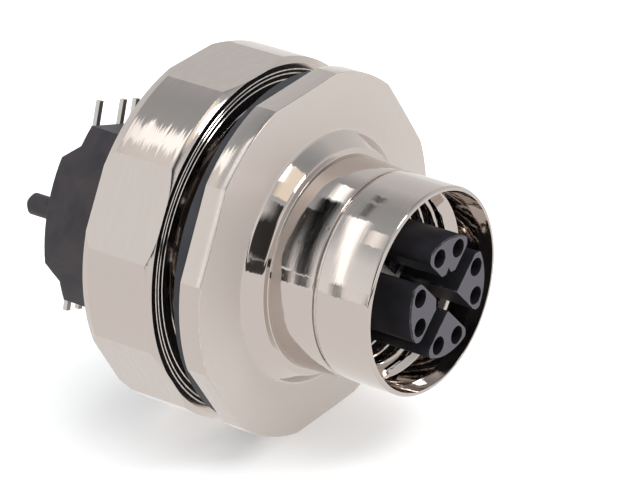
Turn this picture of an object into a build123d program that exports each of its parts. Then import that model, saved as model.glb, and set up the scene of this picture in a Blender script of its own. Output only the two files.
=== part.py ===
from build123d import *
import math
import os

# Panel-mount M12 circular connector with eight sockets in an X-coded insert.
# Millimetres. The connector's axis is Y, the mating mouth faces -Y, +Z is up and the
# origin lies on the axis at the flange's rear face, where the panel gasket seats.
# Angles about the axis are in degrees from +Z towards -X.

# flange and lock nut: turned rounds with six flats
TURNED_R = 11.75
FLAT_DEPTH = 0.4
FLATS_AF = 2 * (TURNED_R - FLAT_DEPTH)
FLANGE_EDGE_Y = -1.55
NUT_TURN = -1.5
NUT_FRONT_Y = 2.4
NUT_REAR_Y = 7.75
NUT_FRONT_BEVEL = 0.38
NUT_REAR_BEVEL = 0.6
NUT_BEVEL_R = TURNED_R - 0.35
NUT_REAR_R = TURNED_R - 0.2
NUT_LEAD_IN = 0.5

# front of the housing: dished flange face, collar, tapered neck, groove and sleeve
COLLAR_ROOT_R = 8.1
COLLAR_ROOT_Y = -1.9
COLLAR_R = 7.37
COLLAR_Y = -2.98
NECK_ROOT_R = 6.9
NECK_R = 6.66
GROOVE_Y = -6.34
GROOVE_W = 0.26
GROOVE_D = 0.16
SLEEVE_R = 6.68
RIM_Y = -10.43
RIM_BEVEL = 0.17
MOUTH_R = 6.13
MOUTH_BEVEL = 0.08
STEP_Y = -8.0
COUPLING_THREAD_R = 6.0
FLOOR_Y = -3.0

# rear of the housing
TAIL_R = 8.0
TAIL_END_Y = 7.75
TAIL_BEVEL = 0.6
TAIL_ROOT_Y = -0.4
SEAT_R = 5.0
SHOULDER_Y = 4.0
REAR_BORE_R = 6.6

# clearances, all radial or one-sided
RUN_CLEAR = 0.03
FIT_CLEAR = 0.02
SLOT_CLEAR = 0.03
OVERCUT = 1.0

# panel gasket
GASKET_R = FLATS_AF / 2 - 0.02
GASKET_T = 0.9
GASKET_BORE_CLEAR = 0.1
GASKET_EDGE = 0.2

# contact carrier (insert) and shield
INSERT_R = 3.9
INSERT_FACE_Y = -11.6
INSERT_ROLL = -5.3
QUADRANT_ROUND = 0.55
INSERT_EDGE = 0.08
CARRIER_FOOT_Y = -3.0
CARRIER_END_Y = 4.0
CARRIER_LIP_T = 1.3
RING_GROOVE_Y = 0.9
RING_GROOVE_W = 1.3
RING_GROOVE_D = 0.85
CONTACT_CIRCLE_R = 3.07
PAIR_HALF_ANGLE = 18.3
SOCKET_MOUTH_R = 0.6
SOCKET_MOUTH_DEPTH = 0.9
SOCKET_R = 0.55
SOCKET_BORE_R = 0.42
SOCKET_LENGTH = 5.4
SOCKET_EDGE = 0.08
SOCKET_FLOOR_T = 0.8
SHANK_R = 0.3
CROSS_T = 0.5
CROSS_FRONT_Y = -7.6
CROSS_END_Y = 3.0
CROSS_R = 3.4
CROSS_SLOT_W = 1.3
CROSS_SLOT_FLOOR_Y = -3.4
QUADRANT_INNER_UP = 1.6
QUADRANT_INNER_NEAR = 1.28
NOTCH_HALF = 0.27
NOTCH_TIP = 2.02
NOTCH_DEPTH = 5.0
SHIELD_RING_T = 0.35
SHIELD_RING_W = 1.0
SHIELD_RING_GAP = 1.0
SHIELD_RING_GAP_AT = 200

# rings inside the rear bore
RETAINER_T = 0.8
RETAINER_BORE_R = 4.3

# rear base
BASE_TILT = -21.0
BASE_R = 9.85
BASE_HALF_H = 5.6
BASE_FRONT_Y = 8.1
BASE_REAR_Y = 11.2
BOSS_REAR_Y = 12.25
BOSS_HALF_H = 3.4
BOSS_ROOT_HALF_H = 4.35
BASE_EDGE = 0.15
PLUG_FRONT_Y = 5.0
PLUG_SEAL_Y = 6.3
PLUG_SEAL_W = 1.1
PLUG_SEAL_D = 0.8
CAVITY_R = 5.2
CAVITY_HALF_N = 5.3
CAVITY_HALF_H = 3.25
CAVITY_END_Y = 10.4
PEG_N = 9.1
PEG_R = 0.7
PEG_TIP_Y = 14.2
PEG_ROUND = 0.3
PLUG_EDGE = 0.2
JOIN = 0.2

# leads
LEAD_W = 0.38
LEAD_T = 0.3
LEAD_TIP_H = 6.8
LEAD_ROW_H = 2.75
LEAD_REAR_Y = 12.7
JOG_START_Y = 8.4
JOG_END_Y = 8.8
TOP_LEADS_N = (3.5, 2.2, -2.2, -3.5)
LOW_LEADS_N = (-4.7, -3.4, 3.4, 4.7)
SHIELD_LEAD_N = 5.9
CLIP_FRONT_Y = BASE_FRONT_Y
CLIP_REAR_Y = 11.4


def turned(points):
    """Solid of revolution about Y from (radius, y) points."""
    return revolve(make_face(Polyline(*points, close=True)), Axis.Y, 360)


def ring(inner, outer, y0, y1):
    """Plain ring between two radii and two stations."""
    return turned([(inner, y0), (outer, y0), (outer, y1), (inner, y1)])


def rod(radius, y0, y1, x=0.0, z=0.0):
    """Round rod along Y."""
    body = turned([(0, y0), (radius, y0), (radius, y1), (0, y1)])
    return Pos(x, 0, z) * body


def block(n0, n1, y0, y1, h0, h1):
    """Block given by its limits; n runs towards -X, h towards +Z."""
    size = (n1 - n0, y1 - y0, h1 - h0)
    return Pos(-(n0 + n1) / 2, (y0 + y1) / 2, (h0 + h1) / 2) * Box(*size)


def turn_about_axis(shape, degrees):
    """Turn a shape about the connector's axis, +Z towards -X."""
    return Rot(0, -degrees, 0) * shape


def flats_prism(y0, y1, turn=0.0):
    """Hexagonal prism that cuts the six flats."""
    outline = RegularPolygon(radius=FLATS_AF / 2, side_count=6, major_radius=False)
    prism = extrude(Plane.XZ * outline, amount=-(y1 - y0))
    return turn_about_axis(Pos(0, y0, 0) * prism, turn)


def polar(radius, degrees):
    """(x, z) of a point at an angle from +Z towards -X."""
    t = math.radians(degrees)
    return -radius * math.sin(t), radius * math.cos(t)


def contact_angles():
    """The eight contact angles, pairs about the four quadrant axes."""
    angles = []
    for quarter in (0, 90, 180, 270):
        angles.append(quarter - PAIR_HALF_ANGLE + INSERT_ROLL)
        angles.append(quarter + PAIR_HALF_ANGLE + INSERT_ROLL)
    return angles


def make_housing():
    """Flange with flats, collar, neck and sleeve in front, threaded tail behind."""
    flange = turned([(NECK_R, 0), (TURNED_R, 0), (TURNED_R, FLANGE_EDGE_Y),
                     (COLLAR_ROOT_R, COLLAR_ROOT_Y), (COLLAR_R, COLLAR_Y), (NECK_R, COLLAR_Y)])
    flange &= flats_prism(COLLAR_Y - OVERCUT, OVERCUT)
    half = GROOVE_W / 2
    core = turned([(SEAT_R, TAIL_END_Y), (TAIL_R - TAIL_BEVEL, TAIL_END_Y),
                   (TAIL_R, TAIL_END_Y - TAIL_BEVEL), (TAIL_R, TAIL_ROOT_Y),
                   (NECK_ROOT_R, TAIL_ROOT_Y), (NECK_ROOT_R, COLLAR_Y), (NECK_R, GROOVE_Y + half),
                   (NECK_R - GROOVE_D, GROOVE_Y + half), (NECK_R - GROOVE_D, GROOVE_Y - half),
                   (SLEEVE_R, GROOVE_Y - half), (SLEEVE_R, RIM_Y + RIM_BEVEL),
                   (SLEEVE_R - RIM_BEVEL, RIM_Y), (MOUTH_R + MOUTH_BEVEL, RIM_Y),
                   (MOUTH_R, RIM_Y + MOUTH_BEVEL), (MOUTH_R, STEP_Y),
                   (COUPLING_THREAD_R, STEP_Y), (COUPLING_THREAD_R, FLOOR_Y),
                   (SEAT_R, FLOOR_Y)])
    body = flange + core
    body -= ring(0, SEAT_R, FLOOR_Y - OVERCUT, TAIL_END_Y + OVERCUT)
    body -= ring(0, REAR_BORE_R, SHOULDER_Y, TAIL_END_Y + OVERCUT)
    return body


def make_panel_gasket():
    """Flat rubber washer behind the flange."""
    inner = TAIL_R + GASKET_BORE_CLEAR
    edge = GASKET_EDGE
    return turned([(inner, 0), (GASKET_R, 0), (GASKET_R, GASKET_T - edge),
                   (GASKET_R - edge, GASKET_T), (inner, GASKET_T)])


def make_lock_nut():
    """Turned nut with six flats, running on the tail."""
    bore = TAIL_R + RUN_CLEAR
    lead_in = NUT_LEAD_IN
    blank = turned([(bore + lead_in, NUT_FRONT_Y), (NUT_BEVEL_R, NUT_FRONT_Y),
                    (TURNED_R, NUT_FRONT_Y + NUT_FRONT_BEVEL),
                    (TURNED_R, NUT_REAR_Y - NUT_REAR_BEVEL), (NUT_REAR_R, NUT_REAR_Y),
                    (bore + lead_in, NUT_REAR_Y), (bore, NUT_REAR_Y - lead_in),
                    (bore, NUT_FRONT_Y + lead_in)])
    return blank & flats_prism(NUT_FRONT_Y - OVERCUT, NUT_REAR_Y + OVERCUT, NUT_TURN)


def quadrants_prism():
    """Four quadrants with rounded outer corners, parted by two crossed slots."""
    slots = Rectangle(CROSS_SLOT_W, 3 * INSERT_R) + Rectangle(3 * INSERT_R, CROSS_SLOT_W)
    outline = Circle(INSERT_R) - Rot(0, 0, 45) * slots
    outer = outline.vertices().filter_by(lambda v: math.hypot(v.X, v.Y) > INSERT_R * 0.9)
    outline = fillet(outer, QUADRANT_ROUND)
    length = CROSS_SLOT_FLOOR_Y - INSERT_FACE_Y + 2 * OVERCUT
    prism = extrude(Plane.XZ * outline, amount=-length)
    return Pos(0, INSERT_FACE_Y - OVERCUT, 0) * prism


def make_contact_carrier():
    """X-coded insert: stepped body, diagonal shield slots, socket bores and the marked quadrant."""
    foot_r = SEAT_R - FIT_CLEAR
    groove_r = foot_r - RING_GROOVE_D
    g0 = RING_GROOVE_Y
    g1 = RING_GROOVE_Y + RING_GROOVE_W
    lip_y = CARRIER_FOOT_Y + CARRIER_LIP_T
    ring_y = lip_y + SHIELD_RING_W + 2 * SLOT_CLEAR
    ring_r = foot_r - SHIELD_RING_T - SLOT_CLEAR
    body = turned([(0, INSERT_FACE_Y), (INSERT_R - INSERT_EDGE, INSERT_FACE_Y),
                   (INSERT_R, INSERT_FACE_Y + INSERT_EDGE), (INSERT_R, CARRIER_FOOT_Y),
                   (foot_r, CARRIER_FOOT_Y), (foot_r, lip_y), (ring_r, lip_y),
                   (ring_r, ring_y), (foot_r, ring_y), (foot_r, g0), (groove_r, g0),
                   (groove_r, g1), (foot_r, g1), (foot_r, CARRIER_END_Y), (0, CARRIER_END_Y)])
    half = CROSS_T / 2 + SLOT_CLEAR
    reach = CROSS_R + SLOT_CLEAR
    for turn in (45, 135):
        slot = block(-half, half, CROSS_FRONT_Y, CROSS_END_Y + SLOT_CLEAR, -reach, reach)
        body -= turn_about_axis(slot, turn + INSERT_ROLL)
    waste = rod(SEAT_R, INSERT_FACE_Y - OVERCUT, CROSS_SLOT_FLOOR_Y)
    body -= waste - turn_about_axis(quadrants_prism(), INSERT_ROLL)
    for angle in contact_angles():
        x, z = polar(CONTACT_CIRCLE_R, angle)
        socket_front = INSERT_FACE_Y + SOCKET_MOUTH_DEPTH
        socket_end = socket_front + SOCKET_LENGTH + SLOT_CLEAR
        body -= rod(SOCKET_MOUTH_R, INSERT_FACE_Y - OVERCUT, socket_end, x, z)
        body -= rod(SHANK_R + SLOT_CLEAR, socket_front, CARRIER_END_Y + OVERCUT, x, z)
    notch_end = INSERT_FACE_Y + NOTCH_DEPTH
    up = block(-1, 1, INSERT_FACE_Y - OVERCUT, notch_end, 0, QUADRANT_INNER_UP)
    near = block(0, QUADRANT_INNER_NEAR, INSERT_FACE_Y - OVERCUT, notch_end, -1, 1)
    wedge = make_face(Polyline((-NOTCH_HALF, QUADRANT_INNER_UP - 0.01), (0, NOTCH_TIP),
                               (NOTCH_HALF, QUADRANT_INNER_UP - 0.01), close=True))
    notch = Pos(0, notch_end, 0) * extrude(Plane.XZ * wedge, amount=NOTCH_DEPTH + OVERCUT)
    body -= turn_about_axis(up + near + notch, INSERT_ROLL)
    return body


def make_shield_cross():
    """Two crossed metal plates in one piece, set diagonally between the four pairs."""
    half = CROSS_T / 2
    first = block(-half, half, CROSS_FRONT_Y, CROSS_END_Y, -CROSS_R, CROSS_R)
    second = turn_about_axis(first, 90)
    cross = first + second
    return turn_about_axis(cross, 45 + INSERT_ROLL)


def make_shield_ring():
    """Thin split ring that bonds the insert to the housing."""
    y0 = CARRIER_FOOT_Y + CARRIER_LIP_T + SLOT_CLEAR
    outer = SEAT_R - FIT_CLEAR
    band = ring(outer - SHIELD_RING_T, outer, y0, y0 + SHIELD_RING_W)
    half = SHIELD_RING_GAP / 2
    gap = block(-half, half, y0 - OVERCUT, y0 + SHIELD_RING_W + OVERCUT, 0, SEAT_R + OVERCUT)
    return band - turn_about_axis(gap, SHIELD_RING_GAP_AT)


def make_insert_o_ring():
    """O-ring in the carrier's groove, drawn squeezed to the groove's height."""
    outer = SEAT_R - FIT_CLEAR / 2
    inner = SEAT_R - FIT_CLEAR - RING_GROOVE_D + FIT_CLEAR / 2
    mid = RING_GROOVE_Y + RING_GROOVE_W / 2
    half = (outer - inner) / 2
    c = half * 0.42
    return turned([(inner, mid - c), (inner + half - c, mid - half), (outer - half + c, mid - half),
                   (outer, mid - c), (outer, mid + c), (outer - half + c, mid + half),
                   (inner + half - c, mid + half), (inner, mid + c)])


def make_retaining_ring():
    """Ring against the housing's inner shoulder that holds the carrier."""
    y0 = SHOULDER_Y + FIT_CLEAR
    return ring(RETAINER_BORE_R, REAR_BORE_R - FIT_CLEAR, y0, y0 + RETAINER_T)


def make_base_seal():
    """O-ring on the base's plug, drawn squeezed in its groove."""
    outer = REAR_BORE_R - FIT_CLEAR / 2
    inner = REAR_BORE_R - FIT_CLEAR - PLUG_SEAL_D + FIT_CLEAR / 2
    mid = PLUG_SEAL_Y + PLUG_SEAL_W / 2
    half = (outer - inner) / 2
    c = half * 0.42
    return turned([(inner, mid - c), (inner + half - c, mid - half), (outer - half + c, mid - half),
                   (outer, mid - c), (outer, mid + c), (outer - half + c, mid + half),
                   (inner + half - c, mid + half), (inner, mid + c)])


def base_slab():
    """The base's outside: a round cut by two parallel planes, with a bevelled boss."""
    disc = turned([(0, BASE_FRONT_Y), (BASE_R - BASE_EDGE, BASE_FRONT_Y),
                   (BASE_R, BASE_FRONT_Y + BASE_EDGE), (BASE_R, BOSS_REAR_Y), (0, BOSS_REAR_Y)])
    outline = make_face(Polyline((BASE_FRONT_Y, -BASE_HALF_H), (BASE_REAR_Y, -BASE_HALF_H),
                                 (BASE_REAR_Y, -BOSS_ROOT_HALF_H), (BOSS_REAR_Y, -BOSS_HALF_H),
                                 (BOSS_REAR_Y, BOSS_HALF_H), (BASE_REAR_Y, BOSS_ROOT_HALF_H),
                                 (BASE_REAR_Y, BASE_HALF_H), (BASE_FRONT_Y, BASE_HALF_H),
                                 close=True))
    profile = extrude(Plane.YZ * outline, amount=BASE_R + OVERCUT, both=True)
    return disc & profile


def make_rear_base():
    """Plastic base with plug, contact cavity, lead slots and two board pegs."""
    plug_r = REAR_BORE_R - FIT_CLEAR
    seal_r = plug_r - PLUG_SEAL_D
    s0 = PLUG_SEAL_Y
    s1 = PLUG_SEAL_Y + PLUG_SEAL_W
    body = base_slab()
    body += turned([(0, PLUG_FRONT_Y), (plug_r - PLUG_EDGE, PLUG_FRONT_Y),
                    (plug_r, PLUG_FRONT_Y + PLUG_EDGE),
                    (plug_r, s0), (seal_r, s0), (seal_r, s1), (plug_r, s1),
                    (plug_r, BASE_FRONT_Y + JOIN), (0, BASE_FRONT_Y + JOIN)])
    body -= rod(CAVITY_R, PLUG_FRONT_Y - OVERCUT, CAVITY_END_Y)
    body -= block(-CAVITY_HALF_N, CAVITY_HALF_N, BASE_FRONT_Y - JOIN, CAVITY_END_Y,
                  -CAVITY_HALF_H, CAVITY_HALF_H)
    for side in (-1, 1):
        tip = turned([(0, BASE_REAR_Y - JOIN), (PEG_R, BASE_REAR_Y - JOIN),
                      (PEG_R, PEG_TIP_Y - PEG_ROUND), (PEG_R - PEG_ROUND, PEG_TIP_Y), (0, PEG_TIP_Y)])
        body += Pos(side * PEG_N, 0, 0) * tip
    hole = LEAD_W / 2 + SLOT_CLEAR
    for leads, sign in ((TOP_LEADS_N, 1), (LOW_LEADS_N, -1)):
        for n in leads:
            h0 = sign * LEAD_ROW_H - hole
            body -= block(n - hole, n + hole, CAVITY_END_Y - OVERCUT, BOSS_REAR_Y + OVERCUT,
                          h0, h0 + 2 * hole)
    reach = LEAD_ROW_H + LEAD_W / 2 + SLOT_CLEAR
    for side in (-1, 1):
        n = side * SHIELD_LEAD_N
        body -= block(n - hole, n + hole, BASE_FRONT_Y - OVERCUT, CLIP_REAR_Y + SLOT_CLEAR,
                      -reach, reach)
        for sign in (-1, 1):
            h0 = sign * LEAD_ROW_H - hole
            body -= block(n - hole, n + hole, CLIP_REAR_Y - OVERCUT, BOSS_REAR_Y + OVERCUT,
                          h0, h0 + 2 * hole)
    return turn_about_axis(body, BASE_TILT)


def lead_tail(n, sign, y_start):
    """Square pin through the base that turns outward and ends in a flat solder tail."""
    w = LEAD_W / 2
    row = sign * LEAD_ROW_H
    pin = block(n - w, n + w, y_start, LEAD_REAR_Y, row - w, row + w)
    lo = min(row - sign * w, sign * LEAD_TIP_H)
    hi = max(row - sign * w, sign * LEAD_TIP_H)
    tail = block(n - w, n + w, LEAD_REAR_Y - LEAD_T, LEAD_REAR_Y, lo, hi)
    return pin + tail


def make_contact(index):
    """Socket, shank, flat jog inside the base and solder tail of one contact."""
    angles = contact_angles()
    angle = angles[index]
    rel = angle - BASE_TILT
    sx, sz = polar(CONTACT_CIRCLE_R, rel)
    n0 = -sx
    h0 = sz
    n1, sign = lead_for(index)
    front = INSERT_FACE_Y + SOCKET_MOUTH_DEPTH
    socket_end = front + SOCKET_LENGTH
    tube = turned([(SOCKET_BORE_R, front), (SOCKET_R - SOCKET_EDGE, front),
                   (SOCKET_R, front + SOCKET_EDGE),
                   (SOCKET_R, socket_end), (0, socket_end), (0, socket_end - SOCKET_FLOOR_T),
                   (SOCKET_BORE_R, socket_end - SOCKET_FLOOR_T)])
    body = Pos(-n0, 0, h0) * tube
    body += rod(SHANK_R, socket_end - JOIN, JOG_END_Y, -n0, h0)
    across = math.hypot(n1 - n0, sign * LEAD_ROW_H - h0)
    angle = math.degrees(math.atan2(n1 - n0, sign * LEAD_ROW_H - h0))
    w = LEAD_W / 2
    jog = block(-w, w, JOG_START_Y, JOG_END_Y, 0, across)
    body += Pos(-n0, 0, h0) * turn_about_axis(jog, angle)
    body += lead_tail(n1, sign, JOG_START_Y)
    return turn_about_axis(body, BASE_TILT)


def lead_for(index):
    """Lead position (n, side) of contact 1 to 8, counted from the top pair."""
    plan = ((TOP_LEADS_N[2], 1), (TOP_LEADS_N[1], 1), (TOP_LEADS_N[0], 1), (LOW_LEADS_N[3], -1),
            (LOW_LEADS_N[2], -1), (LOW_LEADS_N[1], -1), (LOW_LEADS_N[0], -1), (TOP_LEADS_N[3], 1))
    return plan[index]


def make_ground_clip(side):
    """Flat clip in the base with a solder tail at each end."""
    n = side * SHIELD_LEAD_N
    w = LEAD_W / 2
    reach = LEAD_ROW_H + w
    plate = block(n - w, n + w, CLIP_FRONT_Y, CLIP_REAR_Y, -reach, reach)
    clip = plate + lead_tail(n, 1, CLIP_REAR_Y - JOIN) + lead_tail(n, -1, CLIP_REAR_Y - JOIN)
    return turn_about_axis(clip, BASE_TILT)


def main():
    os.makedirs("parts", exist_ok=True)
    pieces = {
        "housing": make_housing(),
        "panel_gasket": make_panel_gasket(),
        "lock_nut": make_lock_nut(),
        "contact_carrier": make_contact_carrier(),
        "shield_cross": make_shield_cross(),
        "shield_ring": make_shield_ring(),
        "insert_o_ring": make_insert_o_ring(),
        "retaining_ring": make_retaining_ring(),
        "rear_base": make_rear_base(),
        "base_seal": make_base_seal(),
        "ground_clip_left": make_ground_clip(1),
        "ground_clip_right": make_ground_clip(-1),
    }
    for index in range(8):
        pieces["contact_%d" % (index + 1)] = make_contact(index)
    for name, piece in pieces.items():
        export_step(piece, "parts/%s.step" % name)


main()
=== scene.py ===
"""Looks of an M12 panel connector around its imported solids.

Metres, the row's own frame: the axis is Y, the mouth faces -Y, +Z is up, and y = 0 is the
flange's rear face. Angles t about the axis run from +Z towards -X, so a point is
(-r sin t, y, r cos t).
"""

import math

import bpy
import numpy as np
from mathutils import Matrix, Vector


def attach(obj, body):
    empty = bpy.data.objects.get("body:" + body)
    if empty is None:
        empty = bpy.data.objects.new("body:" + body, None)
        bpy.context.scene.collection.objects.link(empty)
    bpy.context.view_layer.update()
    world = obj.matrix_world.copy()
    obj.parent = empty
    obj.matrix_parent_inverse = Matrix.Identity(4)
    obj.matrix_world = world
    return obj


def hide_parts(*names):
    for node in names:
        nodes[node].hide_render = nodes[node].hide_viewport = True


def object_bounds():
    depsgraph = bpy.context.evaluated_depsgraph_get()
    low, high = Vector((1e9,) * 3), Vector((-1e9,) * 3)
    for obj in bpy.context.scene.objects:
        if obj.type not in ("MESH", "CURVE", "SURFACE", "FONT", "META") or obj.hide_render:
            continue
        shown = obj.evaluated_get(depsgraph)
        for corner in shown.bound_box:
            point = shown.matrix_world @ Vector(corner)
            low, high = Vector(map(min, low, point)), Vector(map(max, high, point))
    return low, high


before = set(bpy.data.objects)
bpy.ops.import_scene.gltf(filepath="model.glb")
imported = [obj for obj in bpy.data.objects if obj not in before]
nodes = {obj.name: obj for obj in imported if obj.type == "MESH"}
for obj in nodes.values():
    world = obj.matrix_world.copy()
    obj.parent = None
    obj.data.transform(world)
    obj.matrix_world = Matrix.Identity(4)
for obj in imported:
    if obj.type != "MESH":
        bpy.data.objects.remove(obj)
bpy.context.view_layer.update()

# Housing: one turned, nickel-plated piece with sleeve, groove, tapered neck, collar, dished
# flange with six flats, threaded tail and stepped bore. It is made as one closed turned
# surface, and its M12 x 1 and M16 x 1.5 threads are helices, r = r(y / pitch - t / 360).
round_r = 0.01175
flat_r = 0.01135
flats = 6
flat_turn = 360.0 / flats
half_flat = math.degrees(math.acos(flat_r / round_r))
steps = 20


def angles_with_flats(turn):
    """Angles t in degrees for one turn, as many even steps across each flat as each arc."""
    flat = np.linspace(-half_flat, half_flat, steps, endpoint=False)
    arc = np.linspace(half_flat, flat_turn - half_flat, steps, endpoint=False)
    one = np.concatenate([flat, arc])
    return np.concatenate([flat_turn * k + one for k in range(flats)]) + turn


def edge_radius(degrees, turn):
    """r(t) = min(R, F / cos(t - t_flat)), the outline of the round with its six flats."""
    off = np.radians((degrees - turn + flat_turn / 2) % flat_turn - flat_turn / 2)
    return np.minimum(round_r, flat_r / np.cos(off))


def soften(corners, count):
    """Profile of (r, y, reach) corners; each corner becomes a curve B(s) of its two reaches.

    B(s) = (1-s)^2 A + 2 s (1-s) C + s^2 B with A and B at distance reach from the corner C,
    and never past longest_share of a side. Every r and y may be a number or one value per
    angle, and count is the number of angles.
    """
    longest_share, shortest_side = 0.45, 1e-9
    points = [np.stack(np.broadcast_arrays(np.asarray(r, float), np.asarray(y, float)), -1)
              for r, y, reach in corners]
    points = [np.broadcast_to(p, (count, 2)) for p in points]
    rings = []
    for i, (r, y, reach) in enumerate(corners):
        c = points[i]
        if reach == 0:
            rings.append(c)
            continue
        a = points[i - 1] - c
        b = points[(i + 1) % len(corners)] - c
        a_length = np.maximum(np.linalg.norm(a, axis=1, keepdims=True), shortest_side)
        b_length = np.maximum(np.linalg.norm(b, axis=1, keepdims=True), shortest_side)
        a = c + a / a_length * np.minimum(reach, a_length * longest_share)
        b = c + b / b_length * np.minimum(reach, b_length * longest_share)
        for s in (0.0, 0.25, 0.5, 0.75, 1.0):
            rings.append((1 - s) ** 2 * a + 2 * s * (1 - s) * c + s * s * b)
    return rings


def lathe(name, degrees, rings):
    """Closed surface through rings of (r, y) per angle: (-r sin t, y, r cos t).

    Edges are sharp where the surface turns by more than crease, and where a flat meets an arc,
    outside flats_from_r.
    """
    crease, flats_from_r = math.radians(35), 0.0112
    t = np.radians(degrees)
    n, m = len(degrees), len(rings)
    r = np.stack([p[:, 0] for p in rings])
    y = np.stack([p[:, 1] for p in rings])
    verts = np.stack([-r * np.sin(t), y, r * np.cos(t)], -1).reshape(-1, 3)
    i, j = np.meshgrid(np.arange(m), np.arange(n), indexing="ij")
    i2, j2 = (i + 1) % m, (j + 1) % n
    faces = np.stack([i * n + j, i2 * n + j, i2 * n + j2, i * n + j2], -1).reshape(-1, 4)
    mesh = bpy.data.meshes.new(name)
    mesh.from_pydata(verts.tolist(), [], faces.tolist())
    mesh.update()
    mesh.shade_smooth()
    mesh.set_sharp_from_angle(angle=crease)
    ends = np.empty(len(mesh.edges) * 2, int)
    mesh.edges.foreach_get("vertices", ends)
    a, b = ends.reshape(-1, 2).T
    corner = (a % n == b % n) & (a % n % steps == 0)
    corner &= np.minimum(r.ravel()[a], r.ravel()[b]) > flats_from_r
    sharp = np.empty(len(mesh.edges), bool)
    mesh.attributes["sharp_edge"].data.foreach_get("value", sharp)
    mesh.attributes["sharp_edge"].data.foreach_set("value", sharp | corner)
    piece = bpy.data.objects.new(name, mesh)
    bpy.context.scene.collection.objects.link(piece)
    smooth = piece.modifiers.new("even shading", "WEIGHTED_NORMAL")
    smooth.keep_sharp = True
    return piece


# Outside, from the rim's thin lead-in to the flange's rear face. The flange's face is dished:
# it rises from the collar's foot to the rim in a straight line.
degrees = angles_with_flats(0.0)
count = len(degrees)
edge = edge_radius(degrees, 0.0)
foot_r, foot_y, brink_y = 0.0081, -0.0019, -0.00155
face_y = foot_y + (edge - foot_r) / (round_r - foot_r) * (brink_y - foot_y)
tail_r = 0.0080
rings = soften([
    (0.00639, -0.01043, 0.00002), (0.00655, -0.01043, 0.00003), (0.00668, -0.01031, 0.00008),
    (0.00668, -0.00649, 0.00006), (0.00648, -0.00647, 0.00002), (0.00648, -0.00623, 0.00002),
    (0.00666, -0.00618, 0.00008), (0.00690, -0.00302, 0.00005), (0.00728, -0.00299, 0.00004),
    (0.00737, -0.00290, 0.00008), (foot_r, foot_y, 0.00015), (edge, face_y, 0.00006),
    (edge, 0.0, 0.00004), (tail_r, 0.0, 0.00002),
], count)

# Tail thread: a flat crest and two straight flanks. Crest and flank are half widths in
# shares of the pitch.
tail_pitch, tail_depth, crest, flank = 0.0015, 0.00088, 0.06, 0.32
for y in np.arange(0.0003, 0.00722, 0.00011):
    u = (y / tail_pitch - degrees / 360.0) % 1.0
    groove = np.clip((np.abs(u - 0.5) - crest) / flank, 0, 1)
    rings.append(np.stack([tail_r - tail_depth * groove, np.full(count, y)], -1))

# Stepped bore, from the tail's end forward to the seat of the insert.
rings += soften([
    (0.0074, 0.00775, 0.00003), (0.0066, 0.00775, 0.00003), (0.0066, 0.0040, 0.00003),
    (0.0050, 0.0040, 0.00003), (0.0050, -0.0030, 0.00003), (0.0060, -0.0030, 0.00003),
], count)

# Mouth thread: rounded ridges that point inward, cut away by a lead-in cone of 45 degrees at
# its front, and then the smooth lip.
mouth_pitch, mouth_root_r, mouth_depth = 0.0010, 0.0060, 0.00054
crest, flank = 0.125, 0.3125
cone_r, cone_y = 0.00605, -0.0080
for y in np.arange(-0.0036, -0.00801, -0.00004):
    u = (y / mouth_pitch - degrees / 360.0) % 1.0
    ridge = np.clip((crest + flank - np.abs(u - 0.5)) / flank, 0, 1)
    ridge = ridge * ridge * (3 - 2 * ridge)
    thread = mouth_root_r - mouth_depth * ridge
    cone = cone_r - max(y - cone_y, 0.0)
    rings.append(np.stack([np.maximum(thread, cone), np.full(count, y)], -1))
rings += soften([(0.00613, -0.00803, 0.00002), (0.00613, -0.00965, 0.00010)], count)
housing = lathe("housing_shell", degrees, rings)
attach(housing, "shell")
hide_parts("housing")


def add_node(tree, kind, inputs=None, **settings):
    """One node: its settings first, then each input as a value or another node's output."""
    node = tree.nodes.new(kind)
    for key, value in settings.items():
        setattr(node, key, value)
    for key, value in (inputs or {}).items():
        if isinstance(value, bpy.types.NodeSocket):
            tree.links.new(value, node.inputs[key])
        else:
            node.inputs[key].default_value = value
    return node


def maths(tree, operation, *values):
    """Result of one Math node on up to three values."""
    node = add_node(tree, "ShaderNodeMath", dict(enumerate(values)), operation=operation)
    return node.outputs[0]


def vectors(tree, operation, *values):
    """A Vector Math node on up to two vectors."""
    return add_node(tree, "ShaderNodeVectorMath", dict(enumerate(values)), operation=operation)


def map_range(tree, value, low, high, start=0.0, end=1.0):
    """start where value is low, end where it is high, even in between and held outside."""
    return add_node(tree, "ShaderNodeMapRange", {
        "Value": value, "From Min": low, "From Max": high, "To Min": start, "To Max": end,
    }).outputs[0]


def mix_colours(tree, factor, a, b, blend_type="MIX"):
    """Colour a where factor is 0, b where it is 1, or their product."""
    return add_node(tree, "ShaderNodeMix", {"Factor": factor, "A": a, "B": b},
                    data_type="RGBA", blend_type=blend_type).outputs["Result"]


def new_effect(name, takes, gives):
    """A node group with float inputs and outputs of the given kinds, and its two end nodes."""
    group = bpy.data.node_groups.new(name, "ShaderNodeTree")
    for label in takes:
        group.interface.new_socket(label, in_out="INPUT", socket_type="NodeSocketFloat")
    for label, kind in gives:
        group.interface.new_socket(label, in_out="OUTPUT", socket_type=kind)
    return group, group.nodes.new("NodeGroupInput"), group.nodes.new("NodeGroupOutput")


def new_material(name):
    """A material with its node tree and its Principled shader."""
    mat = bpy.data.materials.new(name)
    mat.use_nodes = True
    return mat, mat.node_tree, mat.node_tree.nodes["Principled BSDF"]


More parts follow.
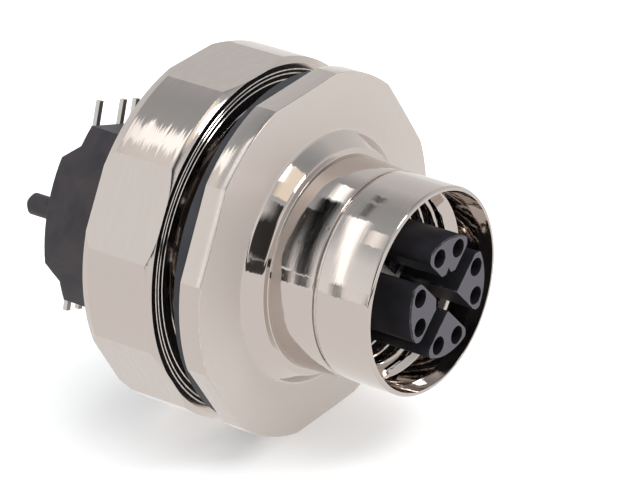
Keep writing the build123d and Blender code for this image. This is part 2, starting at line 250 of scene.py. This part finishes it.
# "turned marks": noise that is long round the axis and short along it, as a lathe leaves it,
# and a normal turned a little round the axis by the same noise:
# n' = n + (axis x n) * amount * (noise - 0.5).
axis = (0.0, 1.0, 0.0)
stretch = 0.0006
turned_marks, given, result = new_effect(
    "turned marks", ("Scale", "Amount"),
    (("Normal", "NodeSocketVector"), ("Marks", "NodeSocketFloat")))
coord = add_node(turned_marks, "ShaderNodeTexCoord")
split = add_node(turned_marks, "ShaderNodeSeparateXYZ", {0: coord.outputs["Object"]})
flat = add_node(turned_marks, "ShaderNodeCombineXYZ",
                {"X": split.outputs["X"], "Z": split.outputs["Z"]})
radius = vectors(turned_marks, "LENGTH", flat.outputs[0]).outputs["Value"]
angle = maths(turned_marks, "ARCTAN2", split.outputs["X"], split.outputs["Z"])
path = add_node(turned_marks, "ShaderNodeCombineXYZ", {
    "X": radius, "Y": split.outputs["Y"], "Z": maths(turned_marks, "MULTIPLY", angle, stretch)})
marks = add_node(turned_marks, "ShaderNodeTexNoise", {
    "Vector": path.outputs[0], "Scale": given.outputs["Scale"], "Detail": 4.0,
    "Roughness": 0.65}).outputs["Fac"]
tilt = maths(turned_marks, "MULTIPLY", maths(turned_marks, "SUBTRACT", marks, 0.5),
             given.outputs["Amount"])
shape = add_node(turned_marks, "ShaderNodeNewGeometry")
around = vectors(turned_marks, "CROSS_PRODUCT", axis, shape.outputs["Normal"])
sideways = add_node(turned_marks, "ShaderNodeVectorMath",
                    {0: around.outputs[0], "Scale": tilt}, operation="SCALE")
total = vectors(turned_marks, "ADD", shape.outputs["Normal"], sideways.outputs[0])
unit = vectors(turned_marks, "NORMALIZE", total.outputs[0])
turned_marks.links.new(unit.outputs[0], result.inputs["Normal"])
turned_marks.links.new(marks, result.inputs["Marks"])

# Edge mask: where the surface within reach turns away, 1 - n . n_rounded, broken up by noise. The
# edges it paints bright are partly wear and partly painted highlight.
edge_wear_and_highlight, given, result = new_effect("edge wear and painted highlight", ("Reach",), (("Mask", "NodeSocketFloat"),))
rounded = add_node(edge_wear_and_highlight, "ShaderNodeBevel", {"Radius": given.outputs["Reach"]}, samples=4)
shape = add_node(edge_wear_and_highlight, "ShaderNodeNewGeometry")
same = vectors(edge_wear_and_highlight, "DOT_PRODUCT", rounded.outputs[0], shape.outputs["Normal"])
turned_away = map_range(edge_wear_and_highlight, same.outputs["Value"], 0.995, 0.90)
coord = add_node(edge_wear_and_highlight, "ShaderNodeTexCoord")
chips = add_node(edge_wear_and_highlight, "ShaderNodeTexNoise",
                 {"Vector": coord.outputs["Object"], "Scale": 2600.0, "Detail": 3.0})
broken = map_range(edge_wear_and_highlight, chips.outputs["Fac"], 0.38, 0.58)
edge_wear_and_highlight.links.new(maths(edge_wear_and_highlight, "MULTIPLY", turned_away, broken), result.inputs["Mask"])
wear_and_highlight_reach = 0.00007

# "fine grain": fine height, slow cloudy tone and small round pits, as plating and moulded
# plastic both have them.
fine_grain, given, result = new_effect(
    "fine grain", ("Grain Scale",),
    (("Height", "NodeSocketFloat"), ("Tone", "NodeSocketFloat"), ("Pits", "NodeSocketFloat")))
coord = add_node(fine_grain, "ShaderNodeTexCoord")
fine = add_node(fine_grain, "ShaderNodeTexNoise", {
    "Vector": coord.outputs["Object"], "Scale": given.outputs["Grain Scale"], "Detail": 3.0})
cloud = add_node(fine_grain, "ShaderNodeTexNoise", {
    "Vector": coord.outputs["Object"], "Scale": 420.0, "Detail": 5.0, "Distortion": 0.6})
cells = add_node(fine_grain, "ShaderNodeTexVoronoi",
                 {"Vector": coord.outputs["Object"], "Scale": 1300.0})
pit = map_range(fine_grain, cells.outputs["Distance"], 0.10, 0.17, 1.0, 0.0)
fine_grain.links.new(fine.outputs["Fac"], result.inputs["Height"])
fine_grain.links.new(cloud.outputs["Fac"], result.inputs["Tone"])
fine_grain.links.new(pit, result.inputs["Pits"])


def nickel(name, face_r):
    """Bright nickel: a pale warm metal with cloudy tone, tiny pits and edges painted bright,
    partly wear and partly painted highlight.

    Marks of the cutting tool fray the reflections, more so on flange and nut than on sleeve
    and neck. Faces that look out of the mouth are satin outside face_r.
    """
    mat, tree, shader = new_material(name)
    shader.inputs["Metallic"].default_value = 1.0
    pale, warm = (0.590, 0.535, 0.505, 1), (0.600, 0.540, 0.495, 1)
    # edge colour: partly wear, partly painted highlight on the rounded edges
    worn_and_highlit_edge = (0.90, 0.87, 0.85, 1)
    sleeve_marks, flange_marks, smoothest, roughest = 0.07, 0.30, 0.08, 0.15
    sleeve_polish, satin_rough, satin_metal = 0.40, 0.36, 0.5
    bump_strength, bump_depth = 0.03, 0.00001
    coord = add_node(tree, "ShaderNodeTexCoord")
    across = vectors(tree, "MULTIPLY", coord.outputs["Object"], (1.0, 0.0, 1.0))
    radius = vectors(tree, "LENGTH", across.outputs[0]).outputs["Value"]
    amount = map_range(tree, radius, 0.0085, 0.0095, sleeve_marks, flange_marks)
    turning = add_node(tree, "ShaderNodeGroup", {"Scale": 5200.0, "Amount": amount},
                       node_tree=turned_marks)
    grain = add_node(tree, "ShaderNodeGroup", {"Grain Scale": 5000.0}, node_tree=fine_grain)
    wear_and_highlight = add_node(tree, "ShaderNodeGroup", {"Reach": wear_and_highlight_reach}, node_tree=edge_wear_and_highlight)
    tone = mix_colours(tree, grain.outputs["Tone"], pale, warm)
    # edges painted bright: partly wear, partly painted highlight
    worn_and_highlit = mix_colours(tree, wear_and_highlight.outputs["Mask"], tone, worn_and_highlit_edge)
    tree.links.new(worn_and_highlit, shader.inputs["Base Color"])
    shape = add_node(tree, "ShaderNodeNewGeometry")
    facing = vectors(tree, "DOT_PRODUCT", shape.outputs["True Normal"], (0.0, -1.0, 0.0))
    satin = maths(tree, "MULTIPLY", map_range(tree, facing.outputs["Value"], 0.90, 0.97),
                  map_range(tree, radius, face_r, face_r + 0.0003))
    bright = maths(tree, "MULTIPLY",
                   map_range(tree, turning.outputs["Marks"], 0.3, 0.7, smoothest, roughest),
                   map_range(tree, radius, 0.0080, 0.0085, sleeve_polish, 1.0))
    tree.links.new(maths(tree, "MULTIPLY_ADD", satin, satin_rough, bright),
                   shader.inputs["Roughness"])
    tree.links.new(maths(tree, "MULTIPLY_ADD", satin, -satin_metal, 1.0),
                   shader.inputs["Metallic"])
    fine = add_node(tree, "ShaderNodeBump", {
        "Strength": bump_strength, "Distance": bump_depth, "Height": turning.outputs["Marks"],
        "Normal": turning.outputs["Normal"]})
    pits = add_node(tree, "ShaderNodeBump", {
        "Strength": bump_strength, "Distance": bump_depth, "Height": grain.outputs["Pits"],
        "Normal": fine.outputs[0]}, invert=True)
    tree.links.new(pits.outputs[0], shader.inputs["Normal"])
    return mat


housing.data.materials.append(nickel("nickel shell", 0.0078))


# Contact carrier: the plastic insert with four quadrants and eight holes. It is moulded nearly
# black, its face is painted paler as painted light from the front, and it seats against a shoulder
# in the bore.
def moulded(name, deep, high, painted_light_face_colour, worn_and_highlit_edge, rough, grain_scale, users):
    """Moulded plastic or rubber with cloudy tone between deep and high, pits and pale edges,
    partly wear and partly painted highlight.

    The face colour is painted light: a paler colour where the surface looks out of the mouth.
    """
    mat, tree, shader = new_material(name)
    shader.inputs["Roughness"].default_value = rough
    shader.inputs["Specular IOR Level"].default_value = 0.35
    grain = add_node(tree, "ShaderNodeGroup", {"Grain Scale": grain_scale}, node_tree=fine_grain)
    wear_and_highlight = add_node(tree, "ShaderNodeGroup", {"Reach": wear_and_highlight_reach}, node_tree=edge_wear_and_highlight)
    cloudy = map_range(tree, grain.outputs["Tone"], 0.35, 0.65)
    tone = mix_colours(tree, cloudy, (*deep, 1), (*high, 1))
    shape = add_node(tree, "ShaderNodeNewGeometry")
    facing = vectors(tree, "DOT_PRODUCT", shape.outputs["Normal"], (0.0, -1.0, 0.0))
    # painted light: the face is painted paler where it looks out of the mouth, as if lit from the
    # front
    with_painted_face_light = mix_colours(tree, map_range(tree, facing.outputs["Value"], 0.85, 0.97), tone,
                          (*painted_light_face_colour, 1))
    # edges painted pale: partly wear, partly painted highlight
    worn_and_highlit = mix_colours(tree, wear_and_highlight.outputs["Mask"], with_painted_face_light, (*worn_and_highlit_edge, 1))
    tree.links.new(worn_and_highlit, shader.inputs["Base Color"])
    fine = add_node(tree, "ShaderNodeBump", {
        "Strength": 0.25, "Distance": 0.00002, "Height": grain.outputs["Height"]})
    pits = add_node(tree, "ShaderNodeBump", {
        "Strength": 0.2, "Distance": 0.00003, "Height": grain.outputs["Pits"],
        "Normal": fine.outputs[0]}, invert=True)
    tree.links.new(pits.outputs[0], shader.inputs["Normal"])
    for user in users:
        nodes[user].data.materials.clear()
        nodes[user].data.materials.append(mat)


moulded("insert plastic", deep=(0.010, 0.009, 0.012), high=(0.018, 0.017, 0.021),
        painted_light_face_colour=(0.085, 0.078, 0.095), worn_and_highlit_edge=(0.20, 0.185, 0.205), rough=0.45,
        grain_scale=9000.0, users=["contact_carrier"])


# Shield cross: two crossed plates of stamped and plated sheet, deep between the carrier's
# quadrants, which part the four pairs.
def rolled(name, bright, dull, smooth, rough, users):
    """Rolled or drawn metal: grain drawn out along the axis, and cloudy plating."""
    mat, tree, shader = new_material(name)
    shader.inputs["Metallic"].default_value = 1.0
    drawn_out = 0.08
    coord = add_node(tree, "ShaderNodeTexCoord")
    along = add_node(tree, "ShaderNodeMapping", {
        "Vector": coord.outputs["Object"], "Scale": (1.0, drawn_out, 1.0)})
    rolling = add_node(tree, "ShaderNodeTexNoise", {
        "Vector": along.outputs[0], "Scale": 7000.0, "Detail": 4.0}).outputs["Fac"]
    grain = add_node(tree, "ShaderNodeGroup", {"Grain Scale": 3000.0}, node_tree=fine_grain)
    tone = mix_colours(tree, grain.outputs["Tone"], (*bright, 1), (*dull, 1))
    tree.links.new(tone, shader.inputs["Base Color"])
    tree.links.new(map_range(tree, rolling, 0.0, 1.0, smooth, rough), shader.inputs["Roughness"])
    fine = add_node(tree, "ShaderNodeBump", {
        "Strength": 0.15, "Distance": 0.00001, "Height": rolling})
    tree.links.new(fine.outputs[0], shader.inputs["Normal"])
    for user in users:
        nodes[user].data.materials.clear()
        nodes[user].data.materials.append(mat)


rolled("shield metal", bright=(0.74, 0.72, 0.69), dull=(0.62, 0.60, 0.57), smooth=0.20,
       rough=0.32, users=["shield_cross"])

# Shield ring and retaining ring: spring sheet, rolled into split rings. The first bonds the
# insert and the housing, and the second holds the insert against its shoulder.
rolled("spring metal", bright=(0.68, 0.66, 0.62), dull=(0.56, 0.54, 0.50), smooth=0.24,
       rough=0.38, users=["shield_ring", "retaining_ring"])

# Seals: two moulded O-rings of matt black rubber, one round the insert and one round the
# base's plug.
moulded("seal rubber", deep=(0.010, 0.010, 0.012), high=(0.016, 0.016, 0.018),
        painted_light_face_colour=(0.013, 0.013, 0.015), worn_and_highlit_edge=(0.03, 0.03, 0.033), rough=0.5,
        grain_scale=7000.0, users=["insert_o_ring", "base_seal"])

# Panel gasket: a flat washer cut from dark matt rubber. It sits against the flange's rear face
# and seals the panel.
moulded("gasket rubber", deep=(0.026, 0.027, 0.032), high=(0.038, 0.039, 0.045),
        painted_light_face_colour=(0.03, 0.031, 0.036), worn_and_highlit_edge=(0.08, 0.082, 0.09), rough=0.6,
        grain_scale=7000.0, users=["panel_gasket"])

# Lock nut: made as the flange is, nickel-plated, and twisted 1.5 degrees against it on the
# tail's thread. A steep front bevel and a long shallow rear bevel cut only the arcs, and its
# front face keeps four fine rings of the lathe.
nut_turn = -1.5
degrees = angles_with_flats(nut_turn)
count = len(degrees)
edge = edge_radius(degrees, nut_turn)
front, rear = 0.0024, 0.00775
front_bevel_r, front_bevel_in, front_bevel_back = 0.0114, 0.00035, 0.00038
rear_bevel_r, rear_bevel_in, rear_bevel_back = 0.01155, 0.0002, 0.0006
front_y = np.maximum(front, front + (edge - front_bevel_r) / front_bevel_in * front_bevel_back)
rear_y = np.minimum(rear, rear - (edge - rear_bevel_r) / rear_bevel_in * rear_bevel_back)
bore_r, mouth_r, ring_h, least_bevel = 0.00803, 0.00853, 0.00004, 0.00002
corners = [(bore_r, 0.00725, 0.00003), (bore_r, 0.0029, 0.00003), (mouth_r, front, 0.00003)]
for ring_r in (0.0096, 0.0104, 0.01075, 0.0110):
    corners += [(ring_r - ring_h, front, 0), (ring_r, front + ring_h, 0),
                (ring_r + ring_h, front, 0)]
corners += [
    (np.minimum(front_bevel_r, edge - least_bevel), front, 0.00003), (edge, front_y, 0.00005),
    (edge, rear_y, 0.00008), (np.minimum(rear_bevel_r, edge - least_bevel), rear, 0.00006),
    (mouth_r, rear, 0.00003),
]
nut = lathe("lock_nut_turned", degrees, soften(corners, count))
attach(nut, "nut")
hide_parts("lock_nut")
nut.data.materials.append(nickel("nickel nut", 0.02))

# Rear base: the plastic block behind the nut, with its bevelled boss and two board pegs. It is
# moulded in a warmer, cloudy black, and its plug sits in the tail.
moulded("base plastic", deep=(0.028, 0.024, 0.031), high=(0.048, 0.040, 0.043),
        painted_light_face_colour=(0.042, 0.036, 0.041), worn_and_highlit_edge=(0.13, 0.115, 0.115), rough=0.5,
        grain_scale=6000.0, users=["rear_base"])

# Ground clips: stamped, tinned sheet in the base, two leads each, which join the shield to
# the board.
rolled("tinned metal", bright=(0.66, 0.65, 0.63), dull=(0.48, 0.47, 0.46), smooth=0.28,
       rough=0.45, users=["ground_clip_left", "ground_clip_right"])

# Contacts: eight plated sockets, each with a shank, a flat jog inside the base and a solder
# tail. The tails leave the base as thin leads bent outward.
rolled("contact metal", bright=(0.66, 0.64, 0.60), dull=(0.50, 0.48, 0.44), smooth=0.26,
       rough=0.42, users=["contact_%d" % (k + 1) for k in range(8)])

# Floor: a pale matt sheet under the part's lowest edge. The metal sees it as an even bright
# field, and the camera sees it with the part's shadow.
floor_tone, floor_glow = 0.9, 0.3
seen_by_metal, seen_strength = (1.0, 0.985, 0.975, 1), 0.95
bpy.ops.mesh.primitive_plane_add(size=4.0, location=(0, 0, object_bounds()[0][2]))
floor = bpy.context.object
floor.name = "floor"
mat, tree, shader = new_material("floor")
shader.inputs["Base Color"].default_value = (floor_tone, floor_tone, floor_tone, 1)
shader.inputs["Roughness"].default_value = 0.9
shader.inputs["Emission Color"].default_value = (1, 1, 1, 1)
shader.inputs["Emission Strength"].default_value = floor_glow
mirrored = add_node(tree, "ShaderNodeEmission",
                    {"Color": seen_by_metal, "Strength": seen_strength})
path = add_node(tree, "ShaderNodeLightPath")
floor_mix = add_node(tree, "ShaderNodeMixShader", {
    "Fac": path.outputs["Is Glossy Ray"], 1: shader.outputs[0], 2: mirrored.outputs[0]})
tree.links.new(floor_mix.outputs[0], tree.nodes["Material Output"].inputs["Surface"])
floor.data.materials.append(mat)


# Room: white for the camera. Light and metal see it bright below and greyer above, brighter on
# the near side, with a dark opening behind the camera and a low dark line on the near side.
def colour_ramp(tree, factor, stops):
    """Colours at the given places of factor, even in between."""
    node = add_node(tree, "ShaderNodeValToRGB", {"Fac": factor})
    elements = node.color_ramp.elements
    for element, (position, colour) in ((elements[0], stops[0]), (elements[1], stops[-1])):
        element.position = position
        element.color = colour
    for position, colour in stops[1:-1]:
        elements.new(position).color = colour
    return node.outputs["Color"]


camera_way = (-0.6883, -0.5473, 0.4760)
near_way = (-0.75, -0.66, 0.0)
white, line_tone = (1, 1, 1, 1), (0.06, 0.06, 0.06, 1)
world = bpy.data.worlds.new("studio")
bpy.context.scene.world = world
world.use_nodes = True
tree = world.node_tree
tree.nodes.clear()
direction = add_node(tree, "ShaderNodeTexCoord").outputs["Generated"]
split = add_node(tree, "ShaderNodeSeparateXYZ", {0: direction})
height = colour_ramp(tree, split.outputs["Z"], (
    (0.05, (1.0, 0.99, 0.98, 1)), (0.55, (0.86, 0.87, 0.88, 1)), (0.80, (0.47, 0.49, 0.51, 1))))
line = colour_ramp(tree, split.outputs["Z"], (
    (0.0, white), (0.01, line_tone), (0.105, line_tone), (0.125, white)))
near = maths(tree, "GREATER_THAN",
             vectors(tree, "DOT_PRODUCT", direction, near_way).outputs["Value"], 0.75)
lined = mix_colours(tree, 1.0, height, mix_colours(tree, near, white, line), "MULTIPLY")
opening = vectors(tree, "DOT_PRODUCT", direction, camera_way).outputs["Value"]
power = maths(tree, "MULTIPLY", map_range(tree, split.outputs["X"], -0.3, 0.5, 1.12, 0.84),
              map_range(tree, opening, 0.925, 0.965, 1.0, 0.05))
room = add_node(tree, "ShaderNodeBackground", {"Color": lined, "Strength": power})
plain = add_node(tree, "ShaderNodeBackground", {"Color": white, "Strength": 1.0})
path = add_node(tree, "ShaderNodeLightPath")
mix = add_node(tree, "ShaderNodeMixShader", {
    "Fac": path.outputs["Is Camera Ray"], 1: room.outputs[0], 2: plain.outputs[0]})
add_node(tree, "ShaderNodeOutputWorld", {0: mix.outputs[0]})

# Lights: a wide box overhead that the metal doesn't show, and a soft box in front of the top
# edge that it does. Columns: direction, distance, size, power, seen in the metal.
boxes = (
    ("overhead", (0.1, -0.2, 1.0), 1.2, (1.2, 1.2), 11.0, False),
    ("front top", (0.16, -0.62, 0.77), 0.8, (0.20, 0.22), 1.3, True),
)
for name, direction, distance, size, watts, seen in boxes:
    light = bpy.data.lights.new(name, "AREA")
    light.shape = "RECTANGLE"
    light.size, light.size_y = size
    light.energy = watts
    lamp = bpy.data.objects.new(name, light)
    bpy.context.scene.collection.objects.link(lamp)
    d = Vector(direction).normalized()
    lamp.location = d * distance
    lamp.rotation_euler = d.to_track_quat("Z", "Y").to_euler()
    lamp.visible_glossy = seen

# Camera at the photograph's angle: a long lens from the near side, above and in front. Angles
# in degrees, distance in metres, focal length and shifts in pixels of the 640 wide frame.
azimuth, elevation, roll, distance = -51.509, 28.428, -3.376, 0.265151
focal, shift_x, shift_y, frame_width = 4250.678, -23.313, 9.325, 640.0
a, e, r = (math.radians(v) for v in (azimuth, elevation, roll))
back = Vector((math.sin(a) * math.cos(e), -math.cos(a) * math.cos(e), math.sin(e)))
right = Vector((math.cos(a), math.sin(a), 0.0))
up = back.cross(right)
right, up = right * math.cos(r) + up * math.sin(r), up * math.cos(r) - right * math.sin(r)
place = back * distance - right * (shift_x * distance / focal) + up * (shift_y * distance / focal)
lens = bpy.data.cameras.new("photo lens")
lens.sensor_width = 36.0
lens.lens = focal * lens.sensor_width / frame_width
lens.clip_start = 0.01
camera = bpy.data.objects.new("photo camera", lens)
bpy.context.scene.collection.objects.link(camera)
camera.matrix_world = Matrix.Translation(place) @ Matrix((right, up, back)).transposed().to_4x4()
bpy.context.scene.camera = camera
bpy.context.scene.view_settings.view_transform = "Standard"

# Reflector cards, 50 mm from the part, which only the metal shows. Each stands where a patch of
# the metal sends the view: with n the surface normal and v the way to the camera,
# r = 2 (n . v) n - v, and the card runs along p + distance * r.
mm = 1000.0
card_distance = 50.0 / mm
spread = 1.2
points = 42

# Columns, in mm and degrees: radius and forward tilt of the surface; y, angle and half width,
# each at both ends; share of the width that fades; light; warmth.
cards = (
    ("bar on flange and nut", 11.75, 0.0, 3.2, 3.2, 32.0, 39.0, 5.0, 5.0, 0.3, 1.9, 0.02),
    ("calmer end of that bar", 11.75, 0.0, 3.2, 3.2, 38.5, 48.0, 5.0, 5.0, 0.3, 1.02, 0.03),
    ("cream on the collar", 7.75, 36.13, -2.35, -2.35, 17.0, 35.0, 5.0, 5.0, 0.3, 1.25, 0.2),
    ("dark edge of the collar", 7.80, 36.13, -1.90, -1.90, 37.0, 65.0, 5.0, 5.0, 0.5, 0.04, 0.1),
    ("block on the collar", 7.75, 36.13, -2.47, -2.47, 65.3, 70.0, 5.0, 5.0, 0.2, 0.06, 0.1),
    ("dark root of the neck", 6.85, 4.3, -4.35, -4.00, 32.0, 66.0, 0.62, 0.52, 0.6, 0.02, 0.15),
    ("block at the neck's root", 6.84, 4.3, -3.85, -3.85, 66.5, 73.0, 0.85, 0.85, 0.2, 0.05, 0.15),
    ("light above the dark line", 6.72, 4.3, -5.55, -5.55, 12.0, 23.5, 0.50, 0.50, 0.3, 2.2, 0.0),
    ("dark line on the neck", 6.72, 4.3, -5.35, -5.44, 24.0, 67.0, 0.72, 0.60, 0.2, 0.0, 0.0),
    ("block below that line", 6.72, 4.3, -5.48, -5.52, 67.0, 72.8, 0.52, 0.52, 0.1, 0.12, 0.0),
    ("wedge on the sleeve", 6.68, 0.0, -7.62, -7.96, 29.0, 66.0, 1.00, 0.30, 0.5, 2.2, 0.0),
    ("block below the wedge", 6.68, 0.0, -7.80, -7.90, 66.5, 73.0, 0.40, 0.40, 0.1, 0.35, 0.0),
    ("patch by the rim", 6.68, 0.0, -9.45, -9.45, 33.5, 42.0, 0.90, 0.80, 0.8, 1.5, 0.05),
    ("first dark dash", 6.68, 0.0, -7.95, -7.95, 11.8, 16.4, 0.52, 0.52, 0.7, 0.12, 0.1),
    ("second dark dash", 6.68, 0.0, -7.85, -7.70, 18.5, 27.5, 0.40, 0.32, 0.7, 0.12, 0.1),
)
for name, radius, taper, y0, y1, first, last, wide, narrow, fade, strength, warm in cards:
    t = np.radians(np.linspace(first, last, points))
    beta = math.radians(taper)
    normal = np.stack([-np.cos(beta) * np.sin(t), np.full(points, -np.sin(beta)),
                       np.cos(beta) * np.cos(t)], -1)
    y = np.linspace(y0, y1, points)
    start = np.stack([-radius * np.sin(t), y, radius * np.cos(t)], -1) / mm
    view = np.array(place) - start
    view /= np.linalg.norm(view, axis=1, keepdims=True)
    away = 2 * np.sum(normal * view, 1)[:, None] * normal - view
    middle = start + card_distance * away
    half = np.linspace(wide, narrow, points) * spread / mm
    verts = []
    cover = []
    for share, full in ((-1, 0), (fade - 1, 1), (1 - fade, 1), (1, 0)):
        verts += (middle + np.outer(half * share, axis)).tolist()
        cover += [0.0] + [float(full)] * (points - 2) + [0.0]
    faces = [(points * j + k, points * j + k + 1, points * (j + 1) + k + 1, points * (j + 1) + k)
             for j in range(3) for k in range(points - 1)]
    mesh = bpy.data.meshes.new(name)
    mesh.from_pydata(verts, [], faces)
    mesh.attributes.new("cover", "FLOAT", "POINT").data.foreach_set("value", cover)
    mat = bpy.data.materials.new(name)
    mat.use_nodes = True
    tree = mat.node_tree
    tree.nodes.clear()
    glow = add_node(tree, "ShaderNodeEmission", {
        "Color": (1.0, 0.99 - 0.4 * warm, 0.98 - warm, 1), "Strength": strength})
    clear = add_node(tree, "ShaderNodeBsdfTransparent")
    cover_in = add_node(tree, "ShaderNodeAttribute", attribute_name="cover")
    blend = add_node(tree, "ShaderNodeMixShader", {
        "Fac": cover_in.outputs["Fac"], 1: clear.outputs[0], 2: glow.outputs[0]})
    add_node(tree, "ShaderNodeOutputMaterial", {0: blend.outputs[0]})
    mat.cycles.emission_sampling = "NONE"
    mesh.materials.append(mat)
    card = bpy.data.objects.new(name, mesh)
    bpy.context.scene.collection.objects.link(card)
    card.visible_camera = False
    card.visible_diffuse = False
    card.visible_shadow = False
    card.visible_transmission = False
